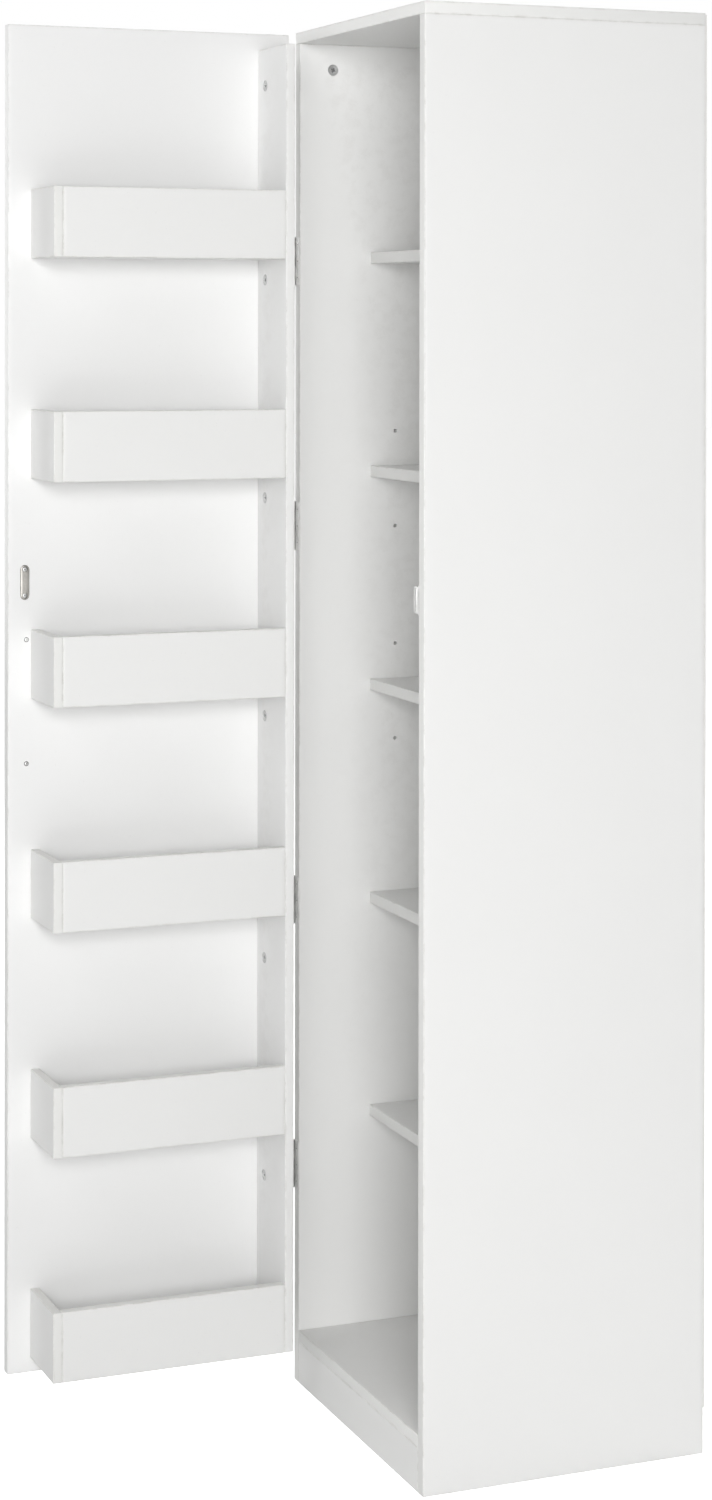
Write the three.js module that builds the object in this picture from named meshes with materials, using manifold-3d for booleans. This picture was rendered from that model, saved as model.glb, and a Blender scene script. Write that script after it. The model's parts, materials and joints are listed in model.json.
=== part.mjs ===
// A tall pantry cabinet in white melamine board, drawn with its door open square to the front.
// The door carries six racks on its inner side, which fold in before the shelves when it closes.
// Millimetres. The front faces -Y, +X is the right-hand side, +Z is up.
// The origin is on the floor, in the middle of the plinth's foot.
import * as THREE from "three";
import { mergeVertices } from "three/addons/utils/BufferGeometryUtils.js";
import Module from "manifold-3d";

const wasm = await Module();
wasm.setup();

// Carcass
const CABINET_WIDTH = 400;
const CABINET_HEIGHT = 1800;
const CARCASS_DEPTH = 386;
const BOARD = 15;
const BACK_BOARD = 3;
const BACK_INSET = 2;
const PLINTH_HEIGHT = 55;
const SHELF_COUNT = 5;
const END_BAY_EXTRA = 5.5;
const RACK_TO_SHELF = 8;

// Door
const DOOR_SIDE_REVEAL = 1;
const DOOR_TOP_REVEAL = 3;
const DOOR_BOTTOM_REVEAL = 2;
const DOOR_HINGE_INSET = 8.5;

// Racks on the door: one upright stile, and a front, an end and a base board for each rack
const RACK_BOARD = 12;
const RACK_COUNT = 6;
const RACK_DEPTH = 97.5;
const RACK_HEIGHT = 89;
const RACK_HEADROOM = 190;
const RACK_SWING_CLEARANCE = 4;
const STILE_FROM_SIDE = 25.5;
const STILE_ABOVE_FLOOR_BOARD = 6;
const STILE_BELOW_TOP_BOARD = 10;

// Butt hinges
const HINGE_HEIGHT = 64;
const HINGE_END_DISTANCE = 289.5;
const HINGE_MIDDLE_SPACING = 500;
const LEAF_THICKNESS = 1.1;
const LEAF_CLEARANCE = 0.3;
const CARCASS_LEAF_EDGE = 1;
const DOOR_LEAF_WIDTH = 22;
const BARREL_RADIUS = 2.9;
const BARREL_OUT_OF_SIDE = 1.9;
const BARREL_CLEARANCE = 0.1;
const KNUCKLE_COUNT = 5;
const KNUCKLE_GAP = 0.3;
const LEAF_NOTCH_CLEARANCE = 0.4;
const PIN_RADIUS = 1.4;
const PIN_CLEARANCE = 0.1;
const PIN_HEAD_OVERHANG = 0.9;
const PIN_HEAD_THICKNESS = 0.8;

// Magnetic catch and its strike plate
const CATCH_RACK = 4;
const CATCH_ABOVE_RACK = 61;
const CATCH_WIDTH = 14;
const CATCH_HEIGHT = 40;
const CATCH_LENGTH = 16;
const MAGNET_WIDTH = 7.4;
const MAGNET_HEIGHT = 29.4;
const MAGNET_LENGTH = 10;
const MAGNET_OFFSET = 1.5;
const CATCH_CLEARANCE = 0.3;
const MAGNET_FIT = 0.3;
const STRIKE_LENGTH = 45;
const STRIKE_WIDTH = 12;
const STRIKE_THICKNESS = 1.2;
const STRIKE_HOLE_SPACING = 34;
const STRIKE_HOLE_RADIUS = 1.8;

// Bar handle on the door's outer side
const HANDLE_CENTRE_HEIGHT = 924;
const HANDLE_FROM_EDGE = 25;
const HANDLE_HOLE_SPACING = 160;
const HANDLE_OVERHANG = 12;
const HANDLE_POST_RADIUS = 5;
const HANDLE_POST_LENGTH = 22;
const HANDLE_BAR_WIDTH = 12;
const HANDLE_BAR_THICKNESS = 8;
const HANDLE_BAR_CORNER = 3;

// Cam locks, 15 mm, and the shelf pin holes
const CAM_RADIUS = 7.5;
const CAM_FIT = 0.3;
const RACK_CAM_THICKNESS = 9;
const CARCASS_CAM_THICKNESS = 12;
const CAM_FROM_DOOR_FACE = 24;
const CAM_BELOW_NEXT_RACK = [74, 70, 34, 30, 26, 49];
const CAM_BELOW_TOP_BOARD = 34;
const CAM_FROM_PANEL_EDGE = 48;
const ADJUSTABLE_SHELVES = [3, 4];
const PIN_HOLE_RADIUS = 2.5;
const PIN_HOLE_DEPTH = 10;
const PIN_HOLE_STEP = 64;
const PIN_HOLE_FROM_SHELF_EDGE = 37;

const ROUND_SEGMENTS = 24;
const HOLE_SEGMENTS = 16;

// Planes of the carcass
const leftX = -CABINET_WIDTH / 2;
const rightX = CABINET_WIDTH / 2;
const frontY = -BOARD / 2;
const rearY = frontY + CARCASS_DEPTH;
const innerLeftX = leftX + BOARD;
const innerRightX = rightX - BOARD;
const topBoardZ = CABINET_HEIGHT - BOARD;
const floorBoardZ = PLINTH_HEIGHT + BOARD;

// The closed door stands off the carcass by its two hinge leaves, and the magnet nearly meets the
// strike plate across that gap.
const doorGap = 2 * LEAF_THICKNESS + LEAF_CLEARANCE;
const magnetProud = doorGap - STRIKE_THICKNESS - CATCH_CLEARANCE;

// The hinge axis, and the door at rest. On the door, u runs from the hinge edge to the free edge,
// and v from the inner face towards the cabinet's inside. Open square, u is -Y and v is +X.
const hingeX = leftX - BARREL_OUT_OF_SIDE + BARREL_RADIUS;
const hingeY = frontY - BARREL_RADIUS - BARREL_CLEARANCE;
const doorFaceX = hingeX - doorGap + BARREL_RADIUS + BARREL_CLEARANCE;
const doorHingeEdgeY = hingeY - (leftX + DOOR_HINGE_INSET - hingeX);
const doorWidth = CABINET_WIDTH - DOOR_HINGE_INSET - DOOR_SIDE_REVEAL;
const doorBottomZ = PLINTH_HEIGHT + DOOR_BOTTOM_REVEAL;
const doorTopZ = CABINET_HEIGHT - DOOR_TOP_REVEAL;

// The racks reach as far as their outer corner clears the right-hand side while the door swings.
const stileBottomZ = floorBoardZ + STILE_ABOVE_FLOOR_BOARD;
const stileTopZ = topBoardZ - STILE_BELOW_TOP_BOARD;
const stileU = BOARD + STILE_FROM_SIDE - DOOR_HINGE_INSET;
const swingRadius = innerRightX - RACK_SWING_CLEARANCE - hingeX;
const rackFrontFromAxis = doorFaceX - hingeX + RACK_DEPTH;
const rackEndU = Math.sqrt(swingRadius ** 2 - rackFrontFromAxis ** 2) - (hingeY - doorHingeEdgeY);
const rackPitch = (stileTopZ - stileBottomZ - RACK_HEADROOM - RACK_HEIGHT) / (RACK_COUNT - 1);
const shelfFrontY = frontY + RACK_DEPTH - doorGap + RACK_TO_SHELF;

// The bays are all alike, except that the first and the last are a little taller.
const openHeight = topBoardZ - floorBoardZ - SHELF_COUNT * BOARD;
const bayHeight = (openHeight - 2 * END_BAY_EXTRA) / (SHELF_COUNT + 1);

const rackBottomZ = (number) => stileBottomZ + (number - 1) * rackPitch;
const shelfBottomZ = (number) => floorBoardZ + END_BAY_EXTRA + number * (bayHeight + BOARD) - BOARD;
const catchZ = rackBottomZ(CATCH_RACK) + RACK_HEIGHT + CATCH_ABOVE_RACK;
const magnetX = innerRightX - CATCH_WIDTH / 2 - MAGNET_OFFSET;

const FINISHES = {
  melamine: { color: 0xf1f1ee, roughness: 0.45, metalness: 0 },
  hardboard: { color: 0xe9e8e4, roughness: 0.75, metalness: 0 },
  hingeSteel: { color: 0xb9bab8, roughness: 0.38, metalness: 0.9 },
  zinc: { color: 0x9c9d9b, roughness: 0.42, metalness: 0.85 },
  whitePlastic: { color: 0xf4f4f2, roughness: 0.5, metalness: 0 },
  magnet: { color: 0x3b3b3d, roughness: 0.5, metalness: 0.5 },
  handleMetal: { color: 0xc4c4c2, roughness: 0.3, metalness: 0.95 },
};

const cabinet = new THREE.Group();

function add(name, geometry, finish) {
  const mesh = new THREE.Mesh(geometry, new THREE.MeshStandardMaterial(FINISHES[finish]));
  mesh.name = name;
  cabinet.add(mesh);
}

// A box between two opposite corners, placed by one matrix so that boards that meet share a plane.
function box(x0, x1, y0, y1, z0, z1) {
  const place = new THREE.Matrix4().makeScale(x1 - x0, y1 - y0, z1 - z0);
  place.setPosition((x0 + x1) / 2, (y0 + y1) / 2, (z0 + z1) / 2);
  return new THREE.BoxGeometry(1, 1, 1).applyMatrix4(place);
}

// A box on the door, from its u, v and height.
function doorBox(u0, u1, v0, v1, z0, z1) {
  return box(doorFaceX + v0, doorFaceX + v1, doorHingeEdgeY - u1, doorHingeEdgeY - u0, z0, z1);
}

// A cylinder that starts at a point and runs along one axis, "x", "y" or "z", by a signed length.
function rod(start, axis, length, radius, segments = ROUND_SEGMENTS) {
  const geometry = new THREE.CylinderGeometry(radius, radius, Math.abs(length), segments);
  if (axis === "x") geometry.rotateZ(-Math.PI / 2);
  if (axis === "z") geometry.rotateX(Math.PI / 2);
  const centre = new THREE.Vector3(...start);
  centre[axis] += length / 2;
  return geometry.translate(centre.x, centre.y, centre.z);
}

function solid(geometry) {
  const plain = geometry.clone();
  plain.deleteAttribute("normal");
  plain.deleteAttribute("uv");
  const merged = mergeVertices(plain, 1e-4);
  const mesh = new wasm.Mesh({
    numProp: 3,
    vertProperties: merged.attributes.position.array,
    triVerts: new Uint32Array(merged.index.array),
  });
  return new wasm.Manifold(mesh);
}

function geometryOf(manifold) {
  const mesh = manifold.getMesh();
  const geometry = new THREE.BufferGeometry();
  geometry.setAttribute("position", new THREE.BufferAttribute(mesh.vertProperties, 3));
  geometry.setIndex(new THREE.BufferAttribute(mesh.triVerts, 1));
  geometry.computeVertexNormals();
  return geometry;
}

// A body with pieces joined to it, and then cutters taken from it.
function carve(body, joins, cuts) {
  const joined = joins.reduce((whole, piece) => whole.add(solid(piece)), solid(body));
  return geometryOf(cuts.reduce((whole, piece) => whole.subtract(solid(piece)), joined));
}

// Side panels, with pockets for the cam locks under the top board and holes for the shelf pins.
// inward is +1 on the left-hand panel and -1 on the right-hand one.
const camZ = topBoardZ - CAM_BELOW_TOP_BOARD;
const camYs = { front: frontY + CAM_FROM_PANEL_EDGE, rear: rearY - CAM_FROM_PANEL_EDGE };

function pinHoleCutters(faceX, inward) {
  const cutters = [];
  for (const number of ADJUSTABLE_SHELVES) {
    for (const y of [shelfFrontY + PIN_HOLE_FROM_SHELF_EDGE, rearY - PIN_HOLE_FROM_SHELF_EDGE]) {
      for (const step of [-1, 0, 1]) {
        const z = shelfBottomZ(number) - PIN_HOLE_RADIUS + step * PIN_HOLE_STEP;
        const mouth = [faceX + inward, y, z];
        cutters.push(rod(mouth, "x", -inward * (PIN_HOLE_DEPTH + 1), PIN_HOLE_RADIUS, HOLE_SEGMENTS));
      }
    }
  }
  return cutters;
}

function sidePanel(side, outerX, inward) {
  const faceX = outerX + inward * BOARD;
  const x0 = Math.min(outerX, faceX);
  const x1 = Math.max(outerX, faceX);
  const cutters = pinHoleCutters(faceX, inward);
  for (const [place, y] of Object.entries(camYs)) {
    const depth = CARCASS_CAM_THICKNESS + CAM_FIT;
    cutters.push(rod([faceX + inward, y, camZ], "x", -inward * (depth + 1), CAM_RADIUS + CAM_FIT));
    const cam = rod([faceX, y, camZ], "x", -inward * CARCASS_CAM_THICKNESS, CAM_RADIUS);
    add(`top_cam_lock_${side}_${place}`, cam, "zinc");
  }
  add(`side_panel_${side}`, carve(box(x0, x1, frontY, rearY, 0, topBoardZ), [], cutters), "melamine");
}

function carcass() {
  sidePanel("left", leftX, 1);
  sidePanel("right", rightX, -1);
  add("top_panel", box(leftX, rightX, frontY, rearY, topBoardZ, CABINET_HEIGHT), "melamine");
  const floorBoard = box(innerLeftX, innerRightX, frontY, rearY, PLINTH_HEIGHT, floorBoardZ);
  add("bottom_panel", floorBoard, "melamine");
  add("plinth", box(innerLeftX, innerRightX, frontY, frontY + BOARD, 0, PLINTH_HEIGHT), "melamine");
  const backZ0 = PLINTH_HEIGHT + BACK_INSET;
  const backZ1 = CABINET_HEIGHT - BACK_INSET;
  const back = box(leftX + BACK_INSET, rightX - BACK_INSET, rearY, rearY + BACK_BOARD, backZ0, backZ1);
  add("back_panel", back, "hardboard");
  for (let number = 1; number <= SHELF_COUNT; number++) {
    const z = shelfBottomZ(number);
    add(`shelf_${number}`, box(innerLeftX, innerRightX, shelfFrontY, rearY, z, z + BOARD), "melamine");
  }
}

// The stile is held to the door by cam locks in its rack-side face, in pockets between the racks.
function stile() {
  const faceY = doorHingeEdgeY - stileU - RACK_BOARD;
  const pockets = CAM_BELOW_NEXT_RACK.map((below, index) => {
    const nextZ = index < RACK_COUNT - 1 ? rackBottomZ(index + 2) : stileTopZ;
    const x = doorFaceX + CAM_FROM_DOOR_FACE;
    const z = nextZ - below;
    const cam = rod([x, faceY, z], "y", RACK_CAM_THICKNESS, CAM_RADIUS);
    add(`stile_cam_lock_${index + 1}`, cam, "zinc");
    return rod([x, faceY - 1, z], "y", RACK_CAM_THICKNESS + CAM_FIT + 1, CAM_RADIUS + CAM_FIT);
  });
  const board = doorBox(stileU, stileU + RACK_BOARD, 0, RACK_DEPTH, stileBottomZ, stileTopZ);
  add("door_stile", carve(board, [], pockets), "melamine");
}

function rack(number) {
  const z0 = rackBottomZ(number);
  const z1 = z0 + RACK_HEIGHT;
  const fromU = stileU + RACK_BOARD;
  const toU = rackEndU - RACK_BOARD;
  const frontV = RACK_DEPTH - RACK_BOARD;
  add(`rack_front_${number}`, doorBox(fromU, toU, frontV, RACK_DEPTH, z0, z1), "melamine");
  add(`rack_end_${number}`, doorBox(toU, rackEndU, 0, RACK_DEPTH, z0, z1), "melamine");
  add(`rack_base_${number}`, doorBox(fromU, toU, 0, frontV, z0, z0 + RACK_BOARD), "melamine");
}

function door() {
  add("door_panel", doorBox(0, doorWidth, -BOARD, 0, doorBottomZ, doorTopZ), "melamine");
  stile();
  for (let number = 1; number <= RACK_COUNT; number++) rack(number);
}

// A butt hinge: knuckles along the barrel belong in turn to the carcass leaf and to the door leaf.
// Each leaf is notched where the other one's knuckles turn.
function hinge(number, centreZ) {
  const bottomZ = centreZ - HINGE_HEIGHT / 2;
  const topZ = centreZ + HINGE_HEIGHT / 2;
  const knuckleHeight = (HINGE_HEIGHT - (KNUCKLE_COUNT - 1) * KNUCKLE_GAP) / KNUCKLE_COUNT;
  const knuckles = { carcass: [], door: [] };
  const notches = { carcass: [], door: [] };
  const reach = BARREL_RADIUS + LEAF_NOTCH_CLEARANCE;
  for (let index = 0; index < KNUCKLE_COUNT; index++) {
    const owner = index % 2 === 0 ? "carcass" : "door";
    const other = index % 2 === 0 ? "door" : "carcass";
    const z = bottomZ + index * (knuckleHeight + KNUCKLE_GAP);
    const z0 = z - KNUCKLE_GAP;
    const z1 = z + knuckleHeight + KNUCKLE_GAP;
    knuckles[owner].push(rod([hingeX, hingeY, z], "z", knuckleHeight, BARREL_RADIUS));
    notches[other].push(box(hingeX - reach, hingeX + reach, hingeY - reach, hingeY + reach, z0, z1));
  }
  const bore = rod([hingeX, hingeY, bottomZ - 1], "z", HINGE_HEIGHT + 2, PIN_RADIUS + PIN_CLEARANCE);
  const leafX1 = innerLeftX - CARCASS_LEAF_EDGE;
  const plates = {
    carcass: box(hingeX, leafX1, frontY - LEAF_THICKNESS, frontY, bottomZ, topZ),
    door: box(doorFaceX, doorFaceX + LEAF_THICKNESS, hingeY - DOOR_LEAF_WIDTH, hingeY, bottomZ, topZ),
  };
  for (const owner of ["carcass", "door"]) {
    const plate = carve(plates[owner], [], notches[owner]);
    add(`hinge_leaf_${owner}_${number}`, carve(plate, knuckles[owner], [bore]), "hingeSteel");
  }
  const shank = rod([hingeX, hingeY, bottomZ], "z", HINGE_HEIGHT, PIN_RADIUS);
  const head = rod([hingeX, hingeY, topZ], "z", PIN_HEAD_THICKNESS, PIN_RADIUS + PIN_HEAD_OVERHANG);
  add(`hinge_pin_${number}`, carve(shank, [head], []), "hingeSteel");
}

function hinges() {
  const middle = topBoardZ / 2;
  const outer = middle - HINGE_END_DISTANCE;
  const inner = HINGE_MIDDLE_SPACING / 2;
  [-outer, -inner, inner, outer].forEach((offset, index) => hinge(index + 1, middle + offset));
}

// The catch sits flush with the front, and its magnet stands proud to meet the strike plate.
function magneticCatch() {
  const z0 = catchZ - CATCH_HEIGHT / 2;
  const z1 = catchZ + CATCH_HEIGHT / 2;
  const seatY = frontY - magnetProud + MAGNET_LENGTH;
  const block = (fit) => {
    const halfWidth = MAGNET_WIDTH / 2 + fit;
    const halfHeight = MAGNET_HEIGHT / 2 + fit;
    const y0 = frontY - magnetProud - fit;
    return box(magnetX - halfWidth, magnetX + halfWidth, y0, seatY, catchZ - halfHeight, catchZ + halfHeight);
  };
  const body = box(innerRightX - CATCH_WIDTH, innerRightX, frontY, frontY + CATCH_LENGTH, z0, z1);
  add("catch_housing", carve(body, [], [block(MAGNET_FIT)]), "whitePlastic");
  add("catch_magnet", block(0), "magnet");
}

// An oblong plate with round ends and two screw holes, upright on the door's inner face. It stands
// as far from the hinge axis as the magnet does.
function strikePlate() {
  const radius = STRIKE_WIDTH / 2;
  const straight = STRIKE_LENGTH / 2 - radius;
  const outline = new THREE.Shape();
  outline.absarc(0, straight, radius, 0, Math.PI, false);
  outline.absarc(0, -straight, radius, Math.PI, 2 * Math.PI, false);
  for (const side of [-1, 1]) {
    const hole = new THREE.Path();
    hole.absarc(0, (side * STRIKE_HOLE_SPACING) / 2, STRIKE_HOLE_RADIUS, 0, 2 * Math.PI, true);
    outline.holes.push(hole);
  }
  const plate = new THREE.ExtrudeGeometry(outline, {
    depth: STRIKE_THICKNESS,
    bevelEnabled: false,
    curveSegments: HOLE_SEGMENTS,
  });
  plate.rotateX(Math.PI / 2);
  plate.rotateZ(Math.PI / 2);
  plate.translate(doorFaceX, hingeY - (magnetX - hingeX), catchZ);
  add("strike_plate", plate, "hingeSteel");
}

function handle() {
  const outerX = doorFaceX - BOARD;
  const barX = outerX - HANDLE_POST_LENGTH;
  const y = doorHingeEdgeY - doorWidth + HANDLE_FROM_EDGE;
  const halfSpacing = HANDLE_HOLE_SPACING / 2;
  const posts = { lower: HANDLE_CENTRE_HEIGHT - halfSpacing, upper: HANDLE_CENTRE_HEIGHT + halfSpacing };
  for (const [place, z] of Object.entries(posts)) {
    const post = rod([outerX, y, z], "x", -HANDLE_POST_LENGTH, HANDLE_POST_RADIUS);
    add(`handle_post_${place}`, post, "handleMetal");
  }
  const halfThick = HANDLE_BAR_THICKNESS / 2;
  const halfWidth = HANDLE_BAR_WIDTH / 2;
  const corner = HANDLE_BAR_CORNER;
  const section = new THREE.Shape();
  section.absarc(halfThick - corner, halfWidth - corner, corner, 0, Math.PI / 2, false);
  section.absarc(corner - halfThick, halfWidth - corner, corner, Math.PI / 2, Math.PI, false);
  section.absarc(corner - halfThick, corner - halfWidth, corner, Math.PI, 1.5 * Math.PI, false);
  section.absarc(halfThick - corner, corner - halfWidth, corner, 1.5 * Math.PI, 2 * Math.PI, false);
  const length = HANDLE_HOLE_SPACING + 2 * HANDLE_OVERHANG;
  const bar = new THREE.ExtrudeGeometry(section, { depth: length, bevelEnabled: false, curveSegments: 4 });
  bar.translate(barX - halfThick, y, HANDLE_CENTRE_HEIGHT - length / 2);
  add("handle_bar", bar, "handleMetal");
}

carcass();
door();
hinges();
magneticCatch();
strikePlate();
handle();

export default cabinet;
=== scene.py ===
"""Tall pantry cabinet in white board: rounded and edge-banded boards, racks on the open door, fittings.

Every board is one closed skin: its outline is carried through the thickness, drawn inwards where the
arris rounds over. Screws, cam locks, pins, posts and nails are turned surfaces, and the screws and
cam locks have a pressed recess.
"""
import json
import math

import bmesh
import bpy
import numpy as np
from mathutils import Matrix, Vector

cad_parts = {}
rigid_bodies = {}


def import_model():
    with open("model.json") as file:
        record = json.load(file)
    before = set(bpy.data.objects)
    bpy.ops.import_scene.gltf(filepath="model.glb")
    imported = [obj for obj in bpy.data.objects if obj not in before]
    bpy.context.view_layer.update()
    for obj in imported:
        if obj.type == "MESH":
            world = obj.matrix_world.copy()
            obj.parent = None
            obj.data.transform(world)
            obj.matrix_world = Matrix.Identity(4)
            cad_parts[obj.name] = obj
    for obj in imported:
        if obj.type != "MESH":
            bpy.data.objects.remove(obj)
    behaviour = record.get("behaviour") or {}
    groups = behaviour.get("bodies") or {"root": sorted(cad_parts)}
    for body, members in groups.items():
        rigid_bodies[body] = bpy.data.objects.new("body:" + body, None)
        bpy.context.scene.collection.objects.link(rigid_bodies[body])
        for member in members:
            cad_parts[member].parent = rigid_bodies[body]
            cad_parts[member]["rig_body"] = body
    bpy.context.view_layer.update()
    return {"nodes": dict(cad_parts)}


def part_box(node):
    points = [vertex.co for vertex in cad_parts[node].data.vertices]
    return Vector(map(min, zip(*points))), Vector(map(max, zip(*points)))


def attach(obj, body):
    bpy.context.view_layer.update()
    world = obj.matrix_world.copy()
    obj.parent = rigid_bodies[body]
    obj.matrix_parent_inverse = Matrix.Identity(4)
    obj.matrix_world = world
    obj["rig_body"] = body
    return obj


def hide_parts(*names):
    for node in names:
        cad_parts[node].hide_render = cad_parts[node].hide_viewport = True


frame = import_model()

NODES = frame["nodes"]
MM = 0.001

# Camera: where it stands, which way it looks (turn from +Y towards +X, tilt up, roll), its lens.
# The focal length and the lens centre are in the unit of the image size, the sensor in millimetres.
IMAGE_SIZE = (712, 1500)
CAMERA_PLACE = (3.2102197, -1.4386501, 1.4085531)
CAMERA_TURN = -1.2224
CAMERA_TILT = -0.0045
CAMERA_ROLL = 0.001
FOCAL_LENGTH = 2764.0791
LENS_CENTRE = (160.0, 338.7028)
SENSOR = 36.0
CLIP_NEAR = 0.05
CLIP_FAR = 200.0

# Light: an even fill from all round, and square soft lights as (place, size, power), which all face
# the aim. The lift is how much brighter than its own shade the floor looks to the camera.
FILL_STRENGTH = 0.14
SOFT_LIGHTS = {
    "key": ((4.2, -1.5, 1.8), 1.4, 93.0),
    "wide": ((4.0, -2.4, 1.6), 2.5, 49.0),
    "high": ((0.8, -3.0, 3.2), 1.5, 22.0),
    "left_high": ((-1.8, -3.2, 2.8), 1.4, 18.0),
    "left": ((-4.0, -1.2, 1.6), 2.0, 30.0),
    "back_left": ((-3.4, 2.6, 2.2), 2.4, 30.0),
    "back": ((-0.6, 3.4, 3.8), 2.5, 85.0),
}
LIGHT_AIM = (0.0, 0.0, 1.0)
FLOOR_LIFT = 0.88
FLOOR_SIZE = 60.0
FLOOR_ROUGHNESS = 0.8

# Boards. Wear fades out over the fade from an arris, or over its share of a narrow edge.
ARRIS = 0.9 * MM
CORNER = 0.9 * MM
LEAST_CORNER = 0.1 * MM
LEAST_MARGIN = 0.2 * MM
BAND = 1.6 * MM
SEAM_HALF_WIDTH = 0.18 * MM
SEAM_DEPTH = 0.07 * MM
FADE = 3.0 * MM
FADE_SHARE = 0.4
ARRIS_STEPS = 4
CORNER_STEPS = 3
HOLE_SEGMENTS = 28
HOLE_CHAMFER = 0.35 * MM
HOLE_FLOOR_SHARE = 0.6
HOLE_RIM_WEAR = 0.6
BACK_ARRIS = 0.25 * MM
BACK_CORNER = 0.4 * MM
SHARP_ANGLE = math.radians(40)
PIN_HOLE_RADIUS = 2.5 * MM
PIN_HOLE_DEPTH = 9.5 * MM
PIN_HOLE_STEP = 64 * MM
PIN_HOLE_FROM_EDGE = 37 * MM
ADJUSTABLE_SHELVES = ("shelf_3", "shelf_4")

# Cross recesses, as (arm, half width, depth, width of the sloping wall), and the groove round the
# handle's, as (radius, width) and its share of the cross's depth.
CAM_CROSS = (3.3 * MM, 1.15 * MM, 2.2 * MM, 0.45 * MM)
HINGE_CROSS = (1.65 * MM, 0.42 * MM, 0.66 * MM, 0.2 * MM)
CATCH_CROSS = (1.0 * MM, 0.32 * MM, 0.5 * MM, 0.22 * MM)
STRIKE_CROSS = (1.1 * MM, 0.35 * MM, 0.7 * MM, 0.22 * MM)
HANDLE_CROSS = (0.8 * MM, 0.3 * MM, 0.9 * MM, 0.22 * MM)
HANDLE_GROOVE = (2.75 * MM, 0.6 * MM)
GROOVE_SHARE = 0.6

# Cam locks, screws as (radius, dome), pins and nails. Turns are in radians.
CAM_RADIUS = 7.35 * MM
CAM_SEGMENTS = 64
CAM_FIRST_TURN = 0.35
CAM_TURN_STEP = 0.9
SCREW_SEGMENTS = 40
SCREW_UNDERSIDE = 0.15 * MM
CATCH_SCREW = (1.7 * MM, 0.6 * MM)
STRIKE_SCREW = (3.1 * MM, 0.6 * MM)
HANDLE_SCREW = (3.3 * MM, 1.2 * MM)
SHELF_PIN_SEGMENTS = 28
SHELF_PIN_PLAY = 0.1 * MM
NAIL_SPACING = 150 * MM
NAIL_INSET = 8 * MM
NAIL_RADIUS = 1.5 * MM
NAIL_SEGMENTS = 14
NAIL_COLUMNS = 5

# Hinges. A middle line's points are in millimetres from the hinge axis, its angles in degrees.
HINGE_COUNT = 4
HINGE_SCREW_SPACING = 22 * MM
HINGE_SCREW_RADIUS = 2.65 * MM
HINGE_SCREW_TOP = 0.08 * MM
HINGE_SCREW_FROM_EDGE = 6.2 * MM
HINGE_SCREW_SHIFT = 0.2 * MM
SEAT_PLAY = 0.1 * MM
SEAT_DEPTH = 0.8 * MM
LEAF_THICKNESS = 1.1 * MM
LEAF_ARRIS = 0.15 * MM
LEAF_CORNER = 0.9 * MM
LEAF_END_EASE = 0.12 * MM
BARREL_RADIUS = 2.9 * MM
BARREL_REACH = 3.3 * MM
KNUCKLE_COUNT = 5
KNUCKLE_GAP = 0.3 * MM
CARCASS_KNUCKLES = (0, 2, 4)
DOOR_KNUCKLES = (1, 3)
CARCASS_LINE = ((3.4, 2.45), (2.6, 2.45), (1.8, 2.43), (0.9, 2.38))
CARCASS_CURL = (90, 383)
DOOR_LINE = ((1.05, -3.45), (1.05, -3.3), (1.35, -2.6), (1.75, -1.8), (2.15, -0.95))
DOOR_CURL = (0, 280)
CURL_STEPS = 30
PIN_RADIUS = 1.4 * MM
PIN_HEAD = 0.8 * MM
PIN_SEGMENTS = 32

# Catch, strike plate and handle.
EAR_HEIGHT = 3.5 * MM
EAR_THICKNESS = 2.2 * MM
EAR_SCREW_FROM_END = 2.0 * MM
POLE_SHARE = 0.4
MAGNET_SUNK = 0.5 * MM
STRIKE_SCREW_SPACING = 34 * MM
STRIKE_SEAT_RADIUS = 3.3 * MM
STRIKE_SEAT_DEPTH = 0.7 * MM
STRIKE_SCREW_SUNK = 0.35 * MM
STRIKE_ARRIS = 0.3 * MM
STRIKE_BAND = 0.8 * MM
STRIKE_END_EASE = 0.02 * MM
BAR_ARRIS = 1.6 * MM
BAR_CORNER = 2.6 * MM
POST_WAIST = 0.22
POST_SEGMENTS = 48

# Colours of wear, dust and the near black of recesses, and how far metal darkens in blotches and along its
# rim.
CORE_GREY = (0.5, 0.48, 0.45, 1)
BOARD_DUST = (0.62, 0.6, 0.57, 1)
BACK_DUST = (0.5, 0.47, 0.42, 1)
# The near black of recesses is painted shade, with some dirt.
SHADE_AND_DIRT_BLACK = (0.03, 0.03, 0.03, 1)
BLOTCH_SHADE = 0.72
RIM_COVER = 0.85


# ---- surfaces ----

def rounded_loop(half_u, half_v, radius, inset):
    """One closed outline: a rectangle drawn in by the inset, each corner a quarter circle. The
    corner radius shrinks with the inset, down to the least corner."""
    reach = max(radius - inset, LEAST_CORNER)
    turn = np.linspace(0, math.pi / 2, CORNER_STEPS + 1)
    corners = []
    for index, (side_u, side_v) in enumerate(((1, 1), (-1, 1), (-1, -1), (1, -1))):
        angle = turn + index * math.pi / 2
        centre = np.array([side_u * (half_u - inset - reach), side_v * (half_v - inset - reach)])
        corners.append(centre + reach * np.stack([np.cos(angle), np.sin(angle)], 1))
    return np.concatenate(corners)


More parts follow.
